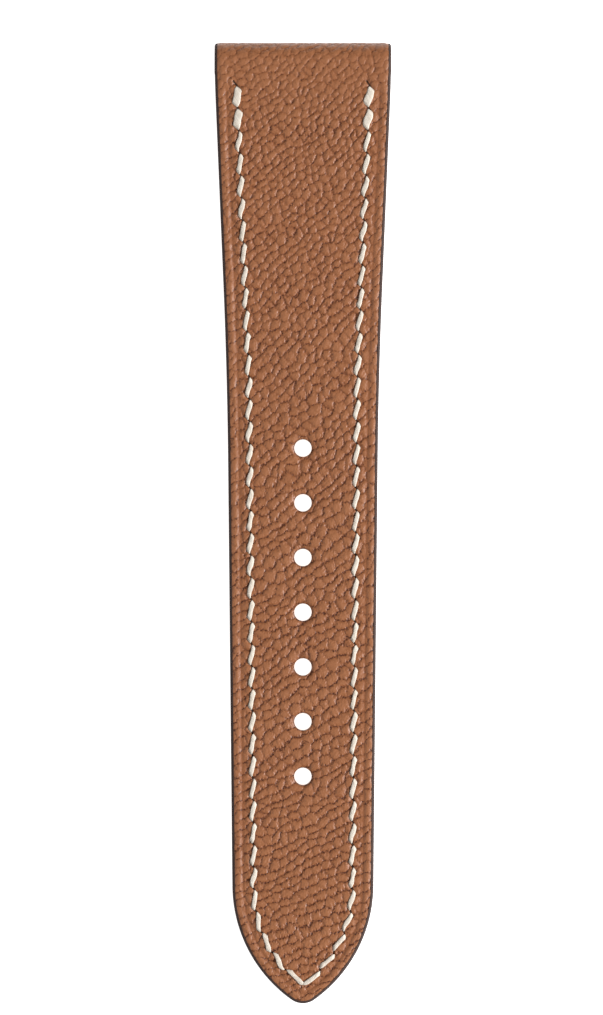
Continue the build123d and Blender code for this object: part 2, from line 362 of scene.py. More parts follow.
# A row at the very tip would have no width, so it is left out.
leather_edge = leather_edge[leather_edge[:, 0] > grid_step / 4]
fold_turn = np.linspace(0, math.pi, round(math.pi * fold_radius / grid_step))[1:]
flap_run = np.arange(grid_step, lining_start, grid_step)
bent_half = np.full(len(fold_turn) + len(flap_run), leather_edge[-1, 0])
row_half = np.concatenate([leather_edge[:, 0], bent_half])
row_y = np.concatenate([leather_edge[:, 1], fold_radius * np.sin(fold_turn), -flap_run])
flap_z = np.full(len(flap_run), bottom)
row_z = np.concatenate([face_height(leather_edge[:, 1]), fold_radius * np.cos(fold_turn), flap_z])
fold_length = fold_radius * math.pi
row_s = np.concatenate([leather_edge[:, 1], fold_radius * fold_turn, fold_length + flap_run])
row_ahead = unit(np.stack([np.gradient(row_y), np.gradient(row_z)], axis=1))
row_normal = np.stack([0 * row_y, -row_ahead[:, 1], row_ahead[:, 0]], axis=1)
print("sheet rows", len(row_s), "of", columns, "points")

# %% Places on the sheet
sheet_x = row_half[:, None] * np.linspace(-1, 1, columns)
sheet_s = np.repeat(row_s[:, None], columns, axis=1)
bent_edge = lug_width / 2 - np.abs(sheet_x)
sheet_edge = np.where(sheet_s < 0, edge_distance(sheet_x, sheet_s), bent_edge)
print("the sheet keeps", round(float(sheet_edge.min()), 2), "mm for the paint")

# %% [markdown]
# On a real skin the rows turn and the domes grow from one place to the next. Angle and size are
# given at a few places along the strap, from the tip at about -107 to the fold, and added up along
# it, so that the rows bend without a break. Soft noise of several sizes makes them wander, and the
# finest of it makes each crease ragged, like the pricked creases of real grain.

# %% Rows along the strap
angle_places = [-110, -92, -68, -30, -9, 10]
row_angles = np.radians([20, 24, 34, 45, 42, 50])
size_places = [-110, -90, -60, -40, -20, -5]
size_shares = [1.0, 1.05, 1.18, 1.12, 0.95, 0.9]
along = np.linspace(-115, 15, 1301)
along_step = along[1] - along[0]
angle_along = np.interp(along, angle_places, row_angles)
size_along = np.interp(along, size_places, size_shares)
run_across_rows = np.cumsum(np.cos(angle_along) / size_along) * along_step
run_along_rows = np.cumsum(np.sin(angle_along) / size_along) * along_step
across_waves = [(0.11, 0.15, 4), (0.04, 0.7, 6), (0.22, 1.7, 1), (0.35, 5.0, 2)]
along_waves = [(0.11, 0.15, 5), (0.04, 0.7, 7), (0.2, 2.0, 3)]
lattice_start = 300


def wandering(waves):
    """Sum of soft noises over the sheet. A wave is its size, its cell and its part of the table."""
    return sum(size * soft_noise(sheet_x, sheet_s, cell, part) for size, cell, part in waves)


sheet_angle = np.interp(sheet_s, along, angle_along)
scaled_x = sheet_x / np.interp(sheet_s, along, size_along)
place_p = np.interp(sheet_s, along, run_across_rows) - scaled_x * np.sin(sheet_angle)
place_q = np.interp(sheet_s, along, run_along_rows) + scaled_x * np.cos(sheet_angle)
place_p += wandering(across_waves) + lattice_start
place_q += wandering(along_waves) + lattice_start
print("the rows turn by", round(float(np.degrees(np.ptp(row_angles)))), "degrees")

# %% [markdown]
# The height is the sum of a wide valley between domes, a narrow fold at its bottom and fine wrinkles
# on the domes. Bending and the crease iron press the grain flatter, so it is calmer round the fold
# and in the margin. The dark line in each crease, partly dye and partly painted shade, is kept for
# the material.

# %% Grain heights
share_places = [-110, -60, -40, -10]
cross_share = np.interp(sheet_s, share_places, [0.6, 0.78, 0.98, 1.02])
tip_share = np.interp(sheet_s, share_places, [1.2, 1.1, 0.8, 0.65])
valley_depth = 0.165
fold_depth = 0.035
wrinkle_height = 0.026
wrinkle_cell = 0.24
wrinkle_stretch_share = 0.5
calm_start = 7.0
calm_length = 9.0
calm_share = 0.45
margin_start = 1.7
margin_blend = 0.5
margin_calm_share = 0.45
margin_pale_share = 0.2
valley, fold, crease_line = grain(place_p, place_q, cross_share)
wrinkle = np.abs(soft_noise(place_p * wrinkle_stretch_share, place_q, wrinkle_cell, 8))
fold_calm = 1 - np.clip((sheet_s + calm_start) / calm_length, 0, 1) * calm_share
in_margin = np.clip((margin_start - sheet_edge) / margin_blend, 0, 1)
grain_strength = fold_calm * (1 - margin_calm_share * in_margin)
height = wrinkle_height * wrinkle - valley_depth * valley - fold_depth * fold * tip_share
height *= grain_strength
# The darkness of the crease lines for the material: partly dye, partly painted shade.
crease_dark = crease_line * tip_share * fold_calm * (1 - margin_pale_share * in_margin)
print("grain depth", round(float(height.min()), 3), "mm")

# %% [markdown]
# A hot creasing iron runs along the edge before sewing. It leaves a soft groove and a narrow margin
# that swells beside it and rolls down to the painted edge. The groove is steeper towards the edge,
# and fades out before the fold.

# %% Creased margin
crease_inset = 1.24
crease_outer_half = 0.28
crease_inner_half = 0.38
crease_depth = 0.11
crease_power = 1.5
crease_end = 2.4
crease_fade_length = 1.6
crease_fade = np.clip((-crease_end - sheet_s) / crease_fade_length, 0, 1)
crease_half = np.where(sheet_edge < crease_inset, crease_outer_half, crease_inner_half)
groove = np.exp(-(np.abs(sheet_edge - crease_inset) / crease_half) ** crease_power) * crease_fade
height -= crease_depth * groove
roll_start = 0.9
roll_depth = 0.11
roll = np.clip((roll_start - sheet_edge) / (roll_start - paint_thick), 0, 1)
height -= roll_depth * roll**2
print("deepest place with crease and roll", round(float(height.min()), 3), "mm")

# %% [markdown]
# The seam is saddle stitched by hand: slanted awl cuts, and a waxed linen thread with a needle at
# each end, so that both faces show a full row of leaning stitches. The places of the awl holes are
# worked out along the seam line from the real stitch length, as a pricking iron marks them, so they
# meet at the tip by themselves.

# %% Seam line
stitch_inset = 2.45
stitch_tip_drop = 0.6
first_awl_hole = 3.0


def seam_line():
    """Right half of the seam from its first awl hole to the tip."""
    start = np.array([lug_width / 2 - stitch_inset, fold_radius - parallel_length])
    shoulder = np.array([shoulder_width / 2 - stitch_inset, fold_radius - shoulder_distance])
    share = (start[1] + first_awl_hole) / (start[1] - shoulder[1])
    first = start + (shoulder - start) * share
    radius = tip_radius - stitch_inset - stitch_tip_drop
    centre = np.array([tip_start_width / 2 - stitch_inset - radius, arc_y - stitch_tip_drop])
    last_angle = math.atan2(-math.sqrt(radius**2 - centre[0] ** 2), -centre[0])
    return np.concatenate([[first, shoulder], arc(centre, radius, 0, last_angle, arch_count)])


half_seam = seam_line()
print("half of the seam is", round(path_run(half_seam)[-1], 1), "mm long")

# %% Places of the awl holes
stitch_pitch = 2.53
awl_half_across = 0.24
awl_half_along = 0.36
tip_hole_half = 0.12
direction_step = 0.01


def awl_holes():
    """Centre, forward and sideways direction of each hole, from the left lug corner round the tip."""
    length = path_run(half_seam)[-1]
    count = round(length / stitch_pitch)
    distances = np.arange(count) / count * length
    place = path_at(half_seam, distances)
    onward = unit(path_at(half_seam, distances + direction_step) - place)
    mirror = np.array([-1, 1])
    tip = half_seam[-1] * [0, 1]
    centre = np.concatenate([place * mirror, [tip], place[::-1]])
    forward = np.concatenate([onward * mirror, [[1, 0]], -onward[::-1]])
    sideways = np.stack([-forward[:, 1], forward[:, 0]], axis=1)
    return centre, forward, sideways


hole_place, hole_forward, hole_sideways = awl_holes()
last_hole = len(hole_place) - 1
tip_hole = last_hole // 2
lean = hole_sideways * awl_half_across + hole_forward * awl_half_along
lean[tip_hole] = hole_forward[tip_hole] * tip_hole_half
stitch_start = (hole_place + lean)[:-1]
stitch_end = (hole_place - lean)[1:]
print("awl holes", len(hole_place))

# %% [markdown]
# An awl leaves a narrow slanted cut, and the leather round it is pulled down by the thread. Each
# stitch also presses its own shallow seat. Booleans would break the fine grid here, so both are
# pressed into its heights, from the distance to a short line.

# %% Awl cuts and stitch seats
stroke_reach = 1.2
cut_depth = 0.20
cut_half = 0.08
pull_depth = 0.04
pull_half = 0.3
slit_half = 0.09
cut_length_share = 1.35
end_cut_length_share = 1.45
seat_depth = 0.05
seat_half = 0.34


def stroke_distance(start, end):
    """Distance of the sheet's points from a short line, for the rows near it, and those rows."""
    way = end - start
    reach = np.linalg.norm(way) / 2 + stroke_reach
    near = np.nonzero(np.abs(row_s - (start[1] + end[1]) / 2) < reach)[0]
    rows = slice(near[0], near[-1] + 1)
    from_x = sheet_x[rows] - start[0]
    from_s = sheet_s[rows] - start[1]
    share = np.clip((from_x * way[0] + from_s * way[1]) / (way @ way), 0, 1)
    return np.hypot(from_x - way[0] * share, from_s - way[1] * share), rows


slit_dark = np.zeros(sheet_x.shape)
for k, (centre, half_cut) in enumerate(zip(hole_place, lean)):
    reach = half_cut * (end_cut_length_share if k in (0, last_hole) else cut_length_share)
    away, rows = stroke_distance(centre - reach, centre + reach)
    height[rows] -= cut_depth * np.exp(-(away / cut_half) ** 2)
    height[rows] -= pull_depth * np.exp(-(away / pull_half) ** 2)
    slit_dark[rows] = np.maximum(slit_dark[rows], np.exp(-(away / slit_half) ** 4))
for start, end in zip(stitch_start, stitch_end):
    away, rows = stroke_distance(start, end)
    height[rows] -= seat_depth * np.exp(-(away / seat_half) ** 4)
print("deepest awl cut", round(float(height.min()), 2), "mm")

# %% [markdown]
# The buckle holes are punched with a round tool, which drags the grain down all round and leaves a
# soft rim with a calmer grain. A thin darker line right at each rim is painted shade.

# %% Pressed rims of the buckle holes
hole_count = 7
hole_radius = 1.02
hole_pitch = 6.2
first_hole = 43.9
rim_depth = 0.11
rim_width = 0.16
dish_depth = 0.10
dish_width = 0.45
dish_reach = 2.0
rim_calm_width = 0.35
rim_line_width = 0.07
rim_shade_share = 0.5
punched = [(0.0, -first_hole - hole_pitch * k) for k in range(hole_count)]
for x, y in punched:
    from_rim = np.hypot(sheet_x - x, sheet_s - y) - hole_radius
    away = np.clip(from_rim, 0, None)
    press = rim_depth * np.exp(-away / rim_width) + dish_depth * np.exp(-away / dish_width)
    height -= press * (from_rim < dish_reach)
    crease_dark *= 1 - rim_shade_share * np.exp(-away / rim_calm_width)
    # Painted shade: a thin dark line right at each hole's rim.
    crease_dark = np.maximum(crease_dark, rim_shade_share * np.exp(-away / rim_line_width))
print("buckle holes from", punched[0][1], "to", round(punched[-1][1], 1), "mm")

# %% [markdown]
# Now the heights become points. The grid's points nearest each circle are moved onto it and the
# faces inside are left out, which keeps a true circle and quads all round, where a Boolean would
# leave slivers.

# %% Punch the holes
bent_y = row_y[:, None] + row_normal[:, 1:2] * height
bent_z = row_z[:, None] + row_normal[:, 2:3] * height
points = np.stack([sheet_x, bent_y, bent_z], axis=-1).reshape(-1, 3)
flat = np.stack([sheet_x, sheet_s], axis=-1).reshape(-1, 2)
faces = grid_faces(*sheet_x.shape)
rims = []
for hole in punched:
    inside = np.linalg.norm(flat[faces].mean(axis=1) - hole, axis=1) < hole_radius
    rim = np.intersect1d(faces[inside], faces[~inside])
    outward = unit(flat[rim] - hole)
    points[rim, :2] = hole + outward * hole_radius
    faces = faces[~inside]
    rims.append(rim[np.argsort(np.arctan2(outward[:, 1], outward[:, 0]))])
print("rim points", [len(rim) for rim in rims])

# %% [markdown]
# A sheet without thickness would look like paper at its cuts. Each hole gets a wall down through
# the upper, which swells inwards a little as punched leather does, and each long edge gets a short
# skirt that goes down behind the paint.

# %% Walls and skirts
upper_thick = 0.85
wall_rings = 4
wall_swell = 0.045
skirt_share = 0.5
all_points = [points]
all_faces = [faces]


def add_points(new_points):
    """Adds points to the upper leather and gives their numbers."""
    start = sum(len(group) for group in all_points)
    all_points.append(new_points)
    return np.arange(start, start + len(new_points))


for hole, rim in zip(punched, rims):
    ring_above = rim
    for k in range(1, wall_rings + 1):
        ring_points = points[rim].copy()
        ring_points[:, :2] = hole + (ring_points[:, :2] - hole) * (1 - wall_swell / hole_radius)
        ring_points[:, 2] -= upper_thick * k / wall_rings
        ring = add_points(ring_points)
        all_faces.append(np.stack([ring_above, ring, np.roll(ring, -1), np.roll(ring_above, -1)], axis=1))
        ring_above = ring
numbers = np.arange(sheet_x.size).reshape(sheet_x.shape)
for border, normal in ((numbers[:, 0], row_normal), (numbers[::-1, -1], row_normal[::-1])):
    skirt = add_points(points[border] - normal * upper_thick * skirt_share)
    all_faces.append(np.stack([border[:-1], border[1:], skirt[1:], skirt[:-1]], axis=1))
print("walls and skirts have", sum(len(group) for group in all_points[1:]), "points")

# %% Upper leather
crease_valley_share = 0.75
upper = mesh_object(
    "upper_grained_leather",
    np.concatenate(all_points),
    np.concatenate(all_faces),
    "upper_leather",
)
# The valley share is painted shade in the tan's colour, and it also dulls the gloss.
deep_places = np.maximum(valley * grain_strength, crease_valley_share * groove)
kept_values = {"crease": crease_dark, "slit": slit_dark, "edge": sheet_edge, "valley": deep_places}
for name, values in kept_values.items():
    full = np.zeros(len(upper.data.vertices))
    full[:values.size] = values.ravel()
    keep_on_points(upper, name, "FLOAT", full)
print("kept on its points:", ", ".join(kept_values))

# %% [markdown]
# Waxed linen thread is three plies twisted together, pressed flat where it lies on the leather. One
# needle's thread shows on the face over every second gap and on the back in between, so each strand
# is swept along one long path: over, down through the awl cut, along the back and up again. A curve
# with a bevel would be quicker, but its flat side would turn round with the plies.

# %% Thread sizes in millimetres
thread_half_wide = 0.265
thread_half_high = 0.12
thread_sides = 18
thread_step = 0.06
spline_steps = 8
ply_count = 3
ply_turn = 1.5
ply_groove_share = 0.12
flat_power = 0.5
fibre_stretch_share = 0.4
print("thread", 2 * thread_half_wide, "mm wide,", ply_count, "plies")


# %% Sweep a thread
def smooth_path(controls):
    """Even points on a smooth curve through the control rows."""
    controls = np.asarray(controls)
    before = controls[:1] * 2 - controls[1:2]
    after = controls[-1:] * 2 - controls[-2:-1]
    padded = np.concatenate([before, controls, after])
    t = np.linspace(0, 1, spline_steps, endpoint=False)[:, None]
    spans = []
    for a, b, c, d in zip(padded, padded[1:], padded[2:], padded[3:]):
        square = (2 * a - 5 * b + 4 * c - d) * t**2
        cube = (3 * b - a - 3 * c + d) * t**3
        spans.append(0.5 * (2 * b + (c - a) * t + square + cube))
    return evenly(np.concatenate(spans + [controls[-1:]]), thread_step)


def swept_thread(controls):
    """Points, faces and fibre directions. A control row is a place, a side, half a width and height."""
    path = smooth_path(controls)
    place = path[:, :3]
    side = unit(path[:, 3:6])
    rise = unit(np.cross(side, unit(np.gradient(place, axis=0))))
    run = path_run(place)[:, None]
    turn = np.linspace(0, 2 * math.pi, thread_sides, endpoint=False)[None, :]
    twist = run / ply_turn * 2 * math.pi
    ply = np.abs(np.cos((turn * ply_count + twist) / 2))
    swell = 1 - ply_groove_share * (1 - ply)
    flat_side = np.sign(np.sin(turn)) * np.abs(np.sin(turn)) ** flat_power
    wide = np.cos(turn) * swell * path[:, 6:7]
    high = flat_side * swell * path[:, 7:8]
    ring = place[:, None] + side[:, None] * wide[..., None] + rise[:, None] * high[..., None]
    along_fibre = fibre_stretch_share * run + 0 * turn
    fibre = np.stack([np.cos(turn - twist), np.sin(turn - twist), along_fibre], axis=-1)
    return ring.reshape(-1, 3), grid_faces(*wide.shape, ring=True), fibre


print("1 mm of thread is cut into", len(smooth_path([(0, 0), (1, 0)])) - 1, "steps")

# %% [markdown]
# Hand work is never even. Each stitch bows, leans and swells by its own seeded amount. On the face
# it rises from one awl cut and dips into the next. The first and last two stitches are sewn twice to
# lock the seam, so they are wider.

# %% Runs on the face
doubled_stitches = 2
doubled_half_wide = 0.45
doubled_least_skew = 0.92
least_skew = 0.62
thread_lift = -0.05
bow_size = 0.035
lean_size = 0.05
plump_share = 0.07
half_stations = [(0, -0.7, 0.8), (0, -0.2, 0.84), (0.03, -0.08, 0.88), (0.12, 0, 0.96), (0.32, 0.01, 1)]
far_stations = [(1 - share, lift, wide) for share, lift, wide in reversed(half_stations)]
stations = half_stations + [(0.5, 0.015, 1)] + far_stations
hand = random.uniform(-1, 1, (len(hole_place), 3))


def front_controls(k):
    """Control rows of stitch k. A station is a share of its length, a lift and a share of its width."""
    start, end = stitch_start[k], stitch_end[k]
    way = unit(end - start)
    aside = np.array([-way[1], way[0]])
    first_cut, next_cut = [unit(cut) * np.sign(cut @ aside) for cut in (lean[k], lean[k + 1])]
    doubled = k < doubled_stitches or k >= last_hole - doubled_stitches
    half_wide = doubled_half_wide if doubled else thread_half_wide * (1 + plump_share * hand[k, 2])
    rows = []
    for share, lift, wide in stations:
        bow = bow_size * hand[k, 0] * math.sin(math.pi * share)
        sway = bow + lean_size * hand[k, 1] * math.sin(2 * math.pi * share)
        spot = start + (end - start) * share + aside * sway
        side = unit(first_cut * (1 - share) + next_cut * share)
        skew = max(side @ aside, doubled_least_skew if doubled else least_skew)
        side = way * math.copysign(math.sqrt(1 - skew**2), side @ way) + aside * skew
        z = face_height(spot[1]) + thread_lift + lift
        rows.append([*spot, z, *side, 0, half_wide * wide / skew, thread_half_high])
    return rows


print("stitches", last_hole, "with", doubled_stitches, "doubled at each end")

# %% [markdown]
# On the back the thread lies sunk in its groove. It passes the end of the other strand's run in each
# hole, so it bows aside twice to stay clear of it.

# %% Runs on the back
back_bow_across = 0.36
back_bow_along = 0.55
back_sink = 0.07
back_thread_thick = 0.48
back_z = bottom + back_sink + back_thread_thick / 2
near_lift = 0.1
deep_lift = 0.35


def back_row(spot, lift, way):
    """One control row on the back, flat across the thread's way there."""
    return [*spot, back_z + lift, -way[1], way[0], 0, thread_half_wide, thread_half_high]


def back_controls(k):
    """Control rows down through awl hole k, along the back, and up through the next."""
    down = hole_place[k] - lean[k]
    up = hole_place[k + 1] + lean[k + 1]
    bow_out = hole_place[k] - hole_sideways[k] * back_bow_across + hole_forward[k] * back_bow_along
    bow_in = hole_place[k + 1] + hole_sideways[k + 1] * back_bow_across
    bow_in = bow_in - hole_forward[k + 1] * back_bow_along
    rise_up = [(bow_in, 0), (up, near_lift), (up, deep_lift)]
    if k == 0:
        spots = [(hole_place[0] + lean[0], near_lift)] + rise_up
    else:
        spots = [(down, deep_lift), (down, near_lift), (bow_out, 0)] + rise_up
    return [back_row(spot, lift, bow_in - bow_out) for spot, lift in spots]


def strand(first):
    """Control rows of one needle's thread, whose first stitch on the face is the given one."""
    if first == 0:
        way = stitch_end[0] - stitch_start[0]
        rows = [back_row(stitch_start[0], lift, way) for lift in (near_lift, deep_lift)]
    else:
        rows = back_controls(0)
    for k in range(first, last_hole, 2):
        rows += front_controls(k)
        if k + 1 < last_hole:
            rows += back_controls(k + 1)
    if (last_hole - first) % 2:
        way = stitch_end[-1] - stitch_start[-1]
        rows += [back_row(stitch_end[-1], lift, way) for lift in (deep_lift, near_lift)]
    return rows


print("the back runs lie", round(back_z - bottom, 2), "mm above the back")

# %% Thread strands
strands = []
for letter, first in (("a", 0), ("b", 1)):
    thread_points, thread_faces, fibre = swept_thread(strand(first))
    name = "linen_strand_" + letter
    made = mesh_object(name, thread_points, thread_faces, "thread_strand_" + letter)
    keep_on_points(made, "fibre", "FLOAT_VECTOR", fibre)
    strands.append(made)

# %% [markdown]
# Edge paint is brushed on in several coats and sanded between them, so it ends as one smooth bead
# with round shoulders. A beveled curve would have the same section everywhere, but this edge is
# twice as high at the lug as at the tip. So a column of points is set up at each place of the
# outline, with its shoulders drawn in from the upper and the lower rim.

# %% Edge paint bead
bead_shoulder = 0.32
paint_lap = 0.30
rim_drop = 0.09
bead_inset_least = 0.02
bead_start = 2.0
paint_step = 0.2
wall_count = 8
shoulder_count = 9
wall_shares = np.linspace(0, 1, wall_count)[1:-1]
section = 1 - np.cos(np.linspace(0, math.pi / 2, shoulder_count))


def bead_inset(y, z):
    """How far the bead's surface lies inside the outline, from the distance to its nearer rim."""
    side_rim = np.minimum(face_height(y) - rim_drop - z, z - bottom)
    fold_rim = fold_radius - rim_drop - np.hypot(y, z)
    share = np.clip(1 - np.where(y > 0, fold_rim, side_rim) / bead_shoulder, 0, 1)
    return paint_lap * (1 - np.sqrt(1 - share**2)) + bead_inset_least


bead_edge = evenly(edge_line, paint_step)
bead_edge = bead_edge[bead_edge[:, 1] < -bead_start]
bead_ahead = unit(np.gradient(bead_edge, axis=0))
inward = np.stack([bead_ahead[:, 1], -bead_ahead[:, 0]], axis=1)
bead_line = np.concatenate([bead_edge, bead_edge[-2::-1] * [-1, 1]])
bead_inward = np.concatenate([inward, inward[-2::-1] * [-1, 1]])[:, None, :]
top_z = face_height(bead_line[:, 1:]) - rim_drop
wall_top = top_z - bead_shoulder
wall_bottom = bottom + bead_shoulder
bead_z = np.concatenate([
    top_z - section * bead_shoulder,
    wall_top + (wall_bottom - wall_top) * wall_shares,
    bottom + section[::-1] * bead_shoulder + 0 * top_z,
], axis=1)
inset = bead_inset(bead_line[:, 1:], bead_z)[..., None]
bead_points = np.concatenate([bead_line[:, None, :] + bead_inward * inset, bead_z[..., None]], axis=2)
print("bead", bead_points.shape[:2])

# %% [markdown]
# At the lug the paint covers the whole end of the fold but keeps the tunnel open. There the bead
# goes on as rings, from the rim of the side view in to the circle of the tunnel.

# %% Bead round the tunnel's ends
tunnel_radius = 1.0
top_count = 12
fold_count = 40
flat_count = 6
shoulder_share = 0.3
flat_shares = np.linspace(shoulder_share, 1, flat_count)[1:]
join_y = bead_edge[0, 1]
top_run = np.linspace(join_y, 0, top_count)[1:-1]
around = np.concatenate([
    np.stack([np.full(bead_z.shape[1], join_y), bead_z[0]], axis=1)[::-1],
    np.stack([top_run, face_height(top_run) - rim_drop], axis=1),
    arc((0, 0), fold_radius - rim_drop, math.pi / 2, -math.pi / 2, fold_count),
    np.stack([top_run[::-1], np.full(len(top_run), bottom)], axis=1),
])
ring_shares = np.concatenate([section * shoulder_share, flat_shares])[:, None, None]
to_tunnel = tunnel_radius / np.linalg.norm(around, axis=1)[:, None] - 1
cheek = around * (1 + to_tunnel * ring_shares)
cheek_y = cheek[..., 0]
half_there = np.interp(-cheek_y, -edge_line[:, 1], edge_line[:, 0])
cheek_half = np.where(cheek_y > fold_radius - parallel_length, lug_width / 2, half_there)
cheek_x = cheek_half - bead_inset(cheek_y, cheek[..., 1])
right_cheek = np.concatenate([cheek_x[..., None], cheek], axis=2).reshape(-1, 3)
cheek_faces = grid_faces(*cheek_y.shape, ring=True)
bead_count = bead_points.shape[0] * bead_points.shape[1]
bead = mesh_object(
    "edge_paint_bead",
    np.concatenate([bead_points.reshape(-1, 3), right_cheek, right_cheek * [-1, 1, 1]]),
    np.concatenate([
        grid_faces(*bead_points.shape[:2]),
        cheek_faces + bead_count,
        cheek_faces[:, ::-1] + bead_count + len(right_cheek),
    ]),
    "edge_paint",
)

# %% [markdown]
# Materials next. A colour is written as the sRGB hex value that a photograph would show, and one
# function turns it to the linear values that the shaders need. Another adds a node with its
# settings and links. The Mix node has sockets for every kind of value, so its factor and the A, B
# and result of its colours get names here.


# %% Colours and nodes
def linear(hex_colour):
    """Linear colour of an sRGB hex value."""
    parts = [int(hex_colour[i:i + 2], 16) / 255 for i in (1, 3, 5)]
    return (*[c / 12.92 if c < 0.04045 else ((c + 0.055) / 1.055) ** 2.4 for c in parts], 1)


def add(tree, kind, settings=(), inputs=()):
    """Adds one node with its settings, and sets or links its inputs."""
    made = tree.nodes.new(kind)
    for name, value in dict(settings).items():
        setattr(made, name, value)
    for name, value in dict(inputs).items():
        if isinstance(value, bpy.types.NodeSocket):
            tree.links.new(value, made.inputs[name])
        else:
            made.inputs[name].default_value = value
    return made


def new_material(name):
    """An empty material, its node tree, its output and its object coordinates."""
    made = bpy.data.materials.new(name)
    made.use_nodes = True
    tree = made.node_tree
    tree.nodes.clear()
    output = add(tree, "ShaderNodeOutputMaterial")
    place = add(tree, "ShaderNodeTexCoord").outputs["Object"]
    return made, tree, output, place


def dress(made, *objects):
    """Gives objects a material."""
    for piece in objects:
        piece.data.materials.clear()
        piece.data.materials.append(made)


mix_share, mix_a, mix_b = 0, 6, 7
mixed = 2
colour_mix = {"data_type": "RGBA"}
held_product = {"operation": "MULTIPLY", "use_clamp": True}
print("the tan is", [round(c, 3) for c in linear("#96603D")[:3]], "in linear values")

# %% [markdown]
# The upper is calf, drum dyed tan and boarded. Dye gathers unevenly, so the tan is mottled in soft
# clouds some millimetres wide. In the valleys and the iron's groove the tan is painted deeper and
# warmer: painted shade, for the light that bounces about in them, which gives the eye a leather
# that has depth even where it is flat. An image could be wrapped round it, but noise needs no
# unwrapping and keeps its size in millimetres.

# %% Tan of the leather
leather, tree, output, place = new_material("pebble_grained_tan_calf")
cloud_size = 6 * millimetre
kept = {
    name: add(tree, "ShaderNodeAttribute", {"attribute_name": name}).outputs["Fac"]
    for name in kept_values
}
cloud = add(tree, "ShaderNodeTexNoise", inputs={"Vector": place, "Scale": 1 / cloud_size, "Detail": 3.0})
mottle = add(tree, "ShaderNodeMix", colour_mix, {
    mix_share: cloud.outputs["Fac"], mix_a: linear("#96603D"), mix_b: linear("#8A5635")})
deep = add(tree, "ShaderNodeMapRange", inputs={
    "Value": kept["valley"], "From Min": 0.25, "From Max": 0.95, "To Min": 0.0, "To Max": 0.85})
# Painted shade: the valleys and the iron's groove are mixed towards a darker, warmer tan.
shaded_valleys = add(tree, "ShaderNodeMix", colour_mix, {
    mix_share: deep.outputs[0], mix_a: mottle.outputs[mixed], mix_b: linear("#7C4520")})
print("tan nodes", len(tree.nodes))

# %% [markdown]
# The bottom of a real crease is a row of dark pricks, where the skin's pores are pressed shut, and it
# lies in shade. So the dark line of each crease is partly that dye and partly painted shade. A Voronoi
# pattern breaks it into such dots. Real pores lie about half as far apart, too fine to show here, so
# they are drawn coarser. The cut edge has drunk some of its paint. The walls of the punched holes are
# darkened the same way, as painted shade inside the holes: their points keep an edge distance of
# zero. Inside the awl cuts hardly any light comes back.

# %% Creases, edge stain and awl cuts
pore_size = 0.27 * millimetre
pore = add(tree, "ShaderNodeTexVoronoi", inputs={"Vector": place, "Scale": 1 / pore_size, "Randomness": 0.8})
dots = add(tree, "ShaderNodeMapRange", inputs={
    "Value": pore.outputs["Distance"], "From Min": 0.25, "From Max": 0.6, "To Min": 1.5, "To Max": 0.35})
# The crease lines are painted darker, partly as dye and partly as painted shade.
dark = add(tree, "ShaderNodeMath", held_product, {0: kept["crease"], 1: 2.5})
dotted = add(tree, "ShaderNodeMath", held_product, {0: dark.outputs[0], 1: dots.outputs[0]})
creased = add(tree, "ShaderNodeMix", colour_mix, {
    mix_share: dotted.outputs[0], mix_a: shaded_valleys.outputs[mixed], mix_b: linear("#4A1E02")})
# Next to the paint the cut edge carries a real stain; the hole walls get the same dark as painted shade.
stain_and_wall_shade_share = add(tree, "ShaderNodeMapRange", inputs={
    "Value": kept["edge"], "From Min": 0.25, "From Max": 0.35, "To Min": 0.75, "To Max": 0.0})
edge_stain_and_wall_shade = add(tree, "ShaderNodeMix", colour_mix, {
    mix_share: stain_and_wall_shade_share.outputs[0], mix_a: creased.outputs[mixed], mix_b: linear("#2E2120")})
slitted = add(tree, "ShaderNodeMix", colour_mix, {
    mix_share: kept["slit"], mix_a: edge_stain_and_wall_shade.outputs[mixed], mix_b: linear("#1E110B")})
print("leather colour nodes", len(tree.nodes))

# %% [markdown]
# Dressed calf has a thin finish with a satin gloss on the domes. The valleys are never polished, so
# they are duller, and the eye reads that difference as depth. Wrinkles finer than the mesh come from
# bump, and 1.45 is a usual index of refraction for leather.

# %% Surface of the leather
wrinkle_size = 0.4 * millimetre
wrinkle_bump = 0.07 * millimetre
fine = add(tree, "ShaderNodeTexNoise", inputs={
    "Vector": place, "Scale": 1 / wrinkle_size, "Detail": 4.0, "Roughness": 0.65})
wrinkled = add(tree, "ShaderNodeBump", inputs={
    "Height": fine.outputs["Fac"], "Strength": 0.6, "Distance": wrinkle_bump})
dull = add(tree, "ShaderNodeMapRange", inputs={
    "Value": kept["valley"], "From Min": 0.6, "From Max": 0.95, "To Min": 0.44, "To Max": 0.85})
skin = add(tree, "ShaderNodeBsdfPrincipled", inputs={
    "Base Color": slitted.outputs[mixed],
    "Roughness": dull.outputs[0],
    "IOR": 1.45,
    "Normal": wrinkled.outputs[0],
})
tree.links.new(skin.outputs[0], output.inputs[0])
dress(leather, upper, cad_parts["upper_leather"])
print("leather nodes", len(tree.nodes))

# %% [markdown]
# Ecru linen is spun from unbleached flax and drawn over wax. Fine darker and paler fibres run round
# the thread with its twist, and the wax fills it to a soft sheen. The mesh keeps a fibre direction
# on its points, so the noise follows the twist instead of cutting straight through it. Flax fibres
# are about 0.02 mm thick, too fine to show here, so they are drawn nearly three times as coarse.

